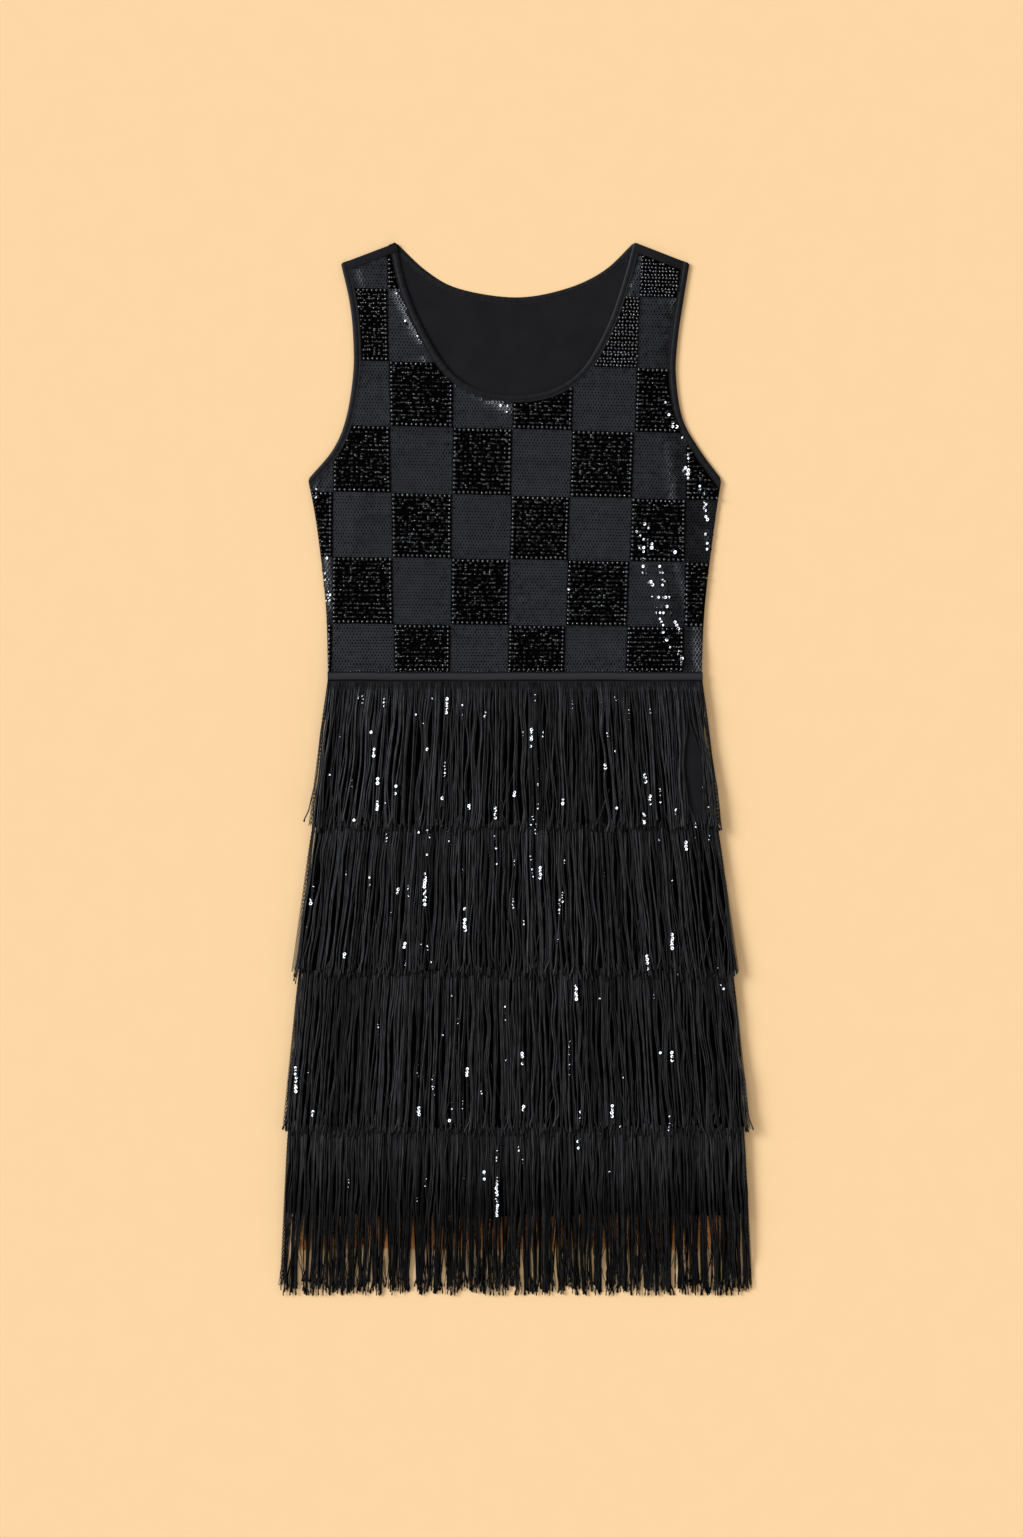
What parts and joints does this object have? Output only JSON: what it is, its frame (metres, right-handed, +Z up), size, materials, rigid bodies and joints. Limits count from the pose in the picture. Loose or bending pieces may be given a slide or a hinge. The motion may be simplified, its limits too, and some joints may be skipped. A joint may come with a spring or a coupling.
{
  "type": "flapper dress, laid flat",
  "caption": "Sleeveless drop-waist dress lying flat, with a beaded checkerboard bodice, scoop neck and a plain slip skirt under tiers of long fringe.",
  "frame": {"origin": "middle of the laid-out dress, on the surface that it rests on", "axes": "+X towards the wearer's left, +Y from the hem to the shoulders, +Z up out of the front of the dress"},
  "size_m": [0.472, 1.055, 0.0096],
  "materials": {
    "beaded_cloth": "black mesh covered with rows of small sequins and beads",
    "plain_cloth": "plain black knit cloth, matt",
    "binding": "black satin band, stitched",
    "fringe": "black rayon chainette fringe, silky",
    "beads": "black glass seed beads, glossy",
    "sequins": "black sequins, glossy"
  },
  "bodies": {
    "root": {"front_bodice": "beaded_cloth", "back_bodice": "plain_cloth", "front_neck_binding": "binding", "back_neck_binding": "binding", "left_armhole_binding_front": "binding", "right_armhole_binding_front": "binding", "left_armhole_binding_back": "binding", "right_armhole_binding_back": "binding", "left_shoulder_band": "plain_cloth", "right_shoulder_band": "plain_cloth", "front_waist_tape": "binding", "back_waist_tape": "binding", "front_slip": "plain_cloth", "back_slip": "plain_cloth", "front_fringe_1": "fringe", "front_fringe_2": "fringe", "front_fringe_3": "fringe", "front_fringe_4": "fringe", "back_fringe_1": "fringe", "back_fringe_2": "fringe", "back_fringe_3": "fringe", "back_fringe_4": "fringe"}
  },
  "joints": []
}
